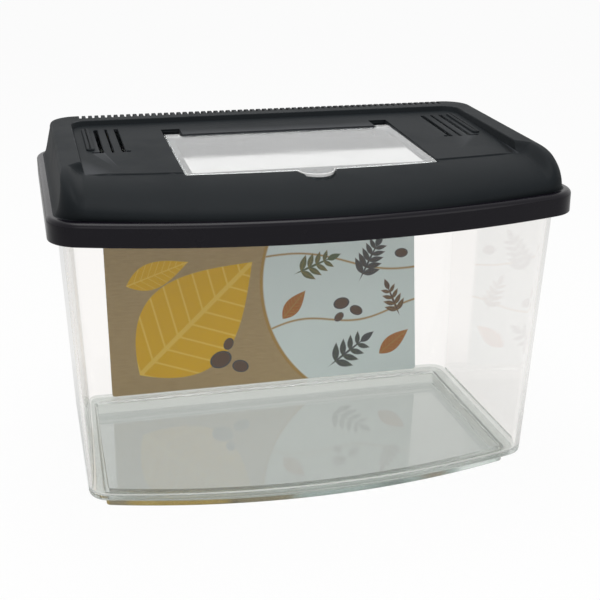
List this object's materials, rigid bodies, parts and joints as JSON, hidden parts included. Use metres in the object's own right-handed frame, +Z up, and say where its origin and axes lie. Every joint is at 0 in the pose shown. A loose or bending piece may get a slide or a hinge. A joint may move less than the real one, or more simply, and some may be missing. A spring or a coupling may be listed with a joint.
{
  "type": "plastic pet keeper",
  "caption": "Clear bow-fronted plastic tank for small pets, with a black vented lid, a clear hinged hatch and a printed card.",
  "frame": {"origin": "on the surface that the tank stands on, in the middle of the object's box seen from above", "axes": "+X to the right across the width, -Y towards the bowed front, +Z up"},
  "size_m": [0.3, 0.222, 0.2098],
  "materials": {
    "clear_tank": "clear polished polystyrene",
    "black_lid": "satin moulded polypropylene",
    "clear_hatch": "clear polished polystyrene",
    "printed_card": "semi-gloss printed card"
  },
  "bodies": {
    "tank": {"tank": "clear_tank", "card": "printed_card"},
    "lid": {"lid": "black_lid"},
    "hatch": {"hatch": "clear_hatch"}
  },
  "joints": [
    {"name": "lid_lift", "type": "slide", "parent": "tank", "child": "lid", "axis": [0, 0, 1], "range_m": [0, 0.08]},
    {"name": "hatch_hinge", "type": "hinge", "parent": "lid", "child": "hatch", "pos_m": [0, 0.03605, 0.20185], "axis": [-1, 0, 0], "range_deg": [0, 130]}
  ]
}
